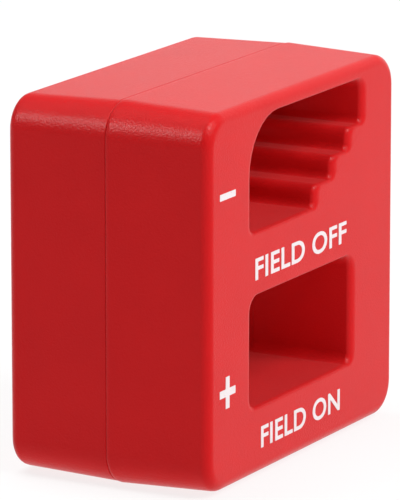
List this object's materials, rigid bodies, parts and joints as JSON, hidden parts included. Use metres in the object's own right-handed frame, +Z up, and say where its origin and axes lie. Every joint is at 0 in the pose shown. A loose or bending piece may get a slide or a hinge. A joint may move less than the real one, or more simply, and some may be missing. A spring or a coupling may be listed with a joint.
{
  "type": "watchmaker's demagnetizer",
  "caption": "Small two-window block for watch and tool work: a rectangular window magnetizes a tool, and a stepped window above it demagnetizes.",
  "frame": {"origin": "middle of the base, under the parting line of the two half shells", "axes": "+Z up; +X along the width, from the two printed marks towards the steps; +Y through the windows, from the printed face to the rear face"},
  "size_m": [0.053, 0.0294, 0.05],
  "materials": {
    "shell_plastic": "fine spark-eroded texture, satin",
    "ferrite": "sintered, ground flat",
    "hot_melt_glue": "cast, smooth",
    "white_ink": "pad printed, matt"
  },
  "bodies": {
    "root": {"front_shell": "shell_plastic", "rear_shell": "shell_plastic", "base_magnet": "ferrite", "middle_magnet": "ferrite", "base_glue_bed": "hot_melt_glue", "middle_glue_bed": "hot_melt_glue", "minus_mark": "white_ink", "plus_mark": "white_ink"}
  },
  "joints": []
}
